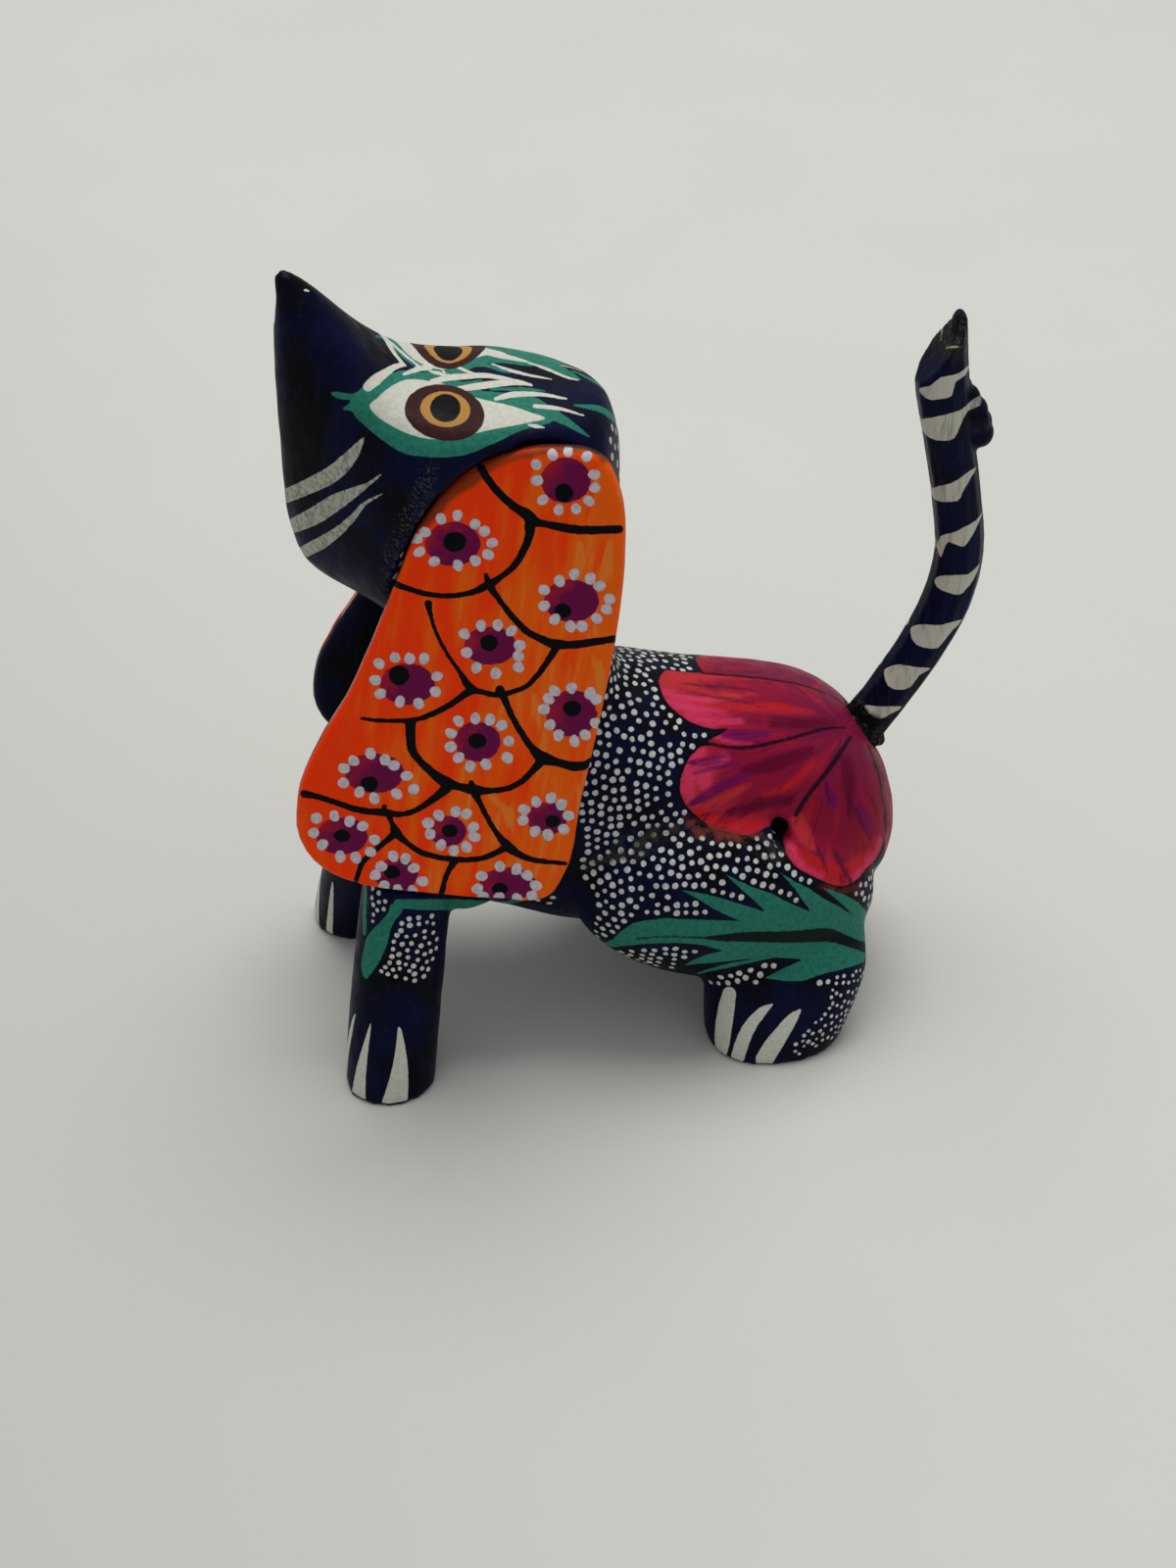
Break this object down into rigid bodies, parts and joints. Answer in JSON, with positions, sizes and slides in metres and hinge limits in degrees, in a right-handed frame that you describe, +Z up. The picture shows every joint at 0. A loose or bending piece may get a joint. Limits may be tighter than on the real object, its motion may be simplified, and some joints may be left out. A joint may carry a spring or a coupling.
{
  "type": "alebrije figurine",
  "caption": "Small carved and painted wooden animal standing on its feet, snout raised, with long hanging ear panels and a twig tail.",
  "frame": {"origin": "centre of the bounding box's underside, between the four soles", "axes": "+Z up, the animal faces -Y, its left side is +X"},
  "size_m": [0.0504, 0.088, 0.1022],
  "materials": {
    "navy_paint": "satin acrylic paint on carved wood",
    "orange_paint": "satin acrylic paint on carved wood",
    "navy_twig_paint": "satin acrylic paint on a natural twig"
  },
  "bodies": {
    "root": {"carved_body": "navy_paint", "left_ear": "orange_paint", "right_ear": "orange_paint", "tail": "navy_twig_paint"}
  },
  "joints": []
}
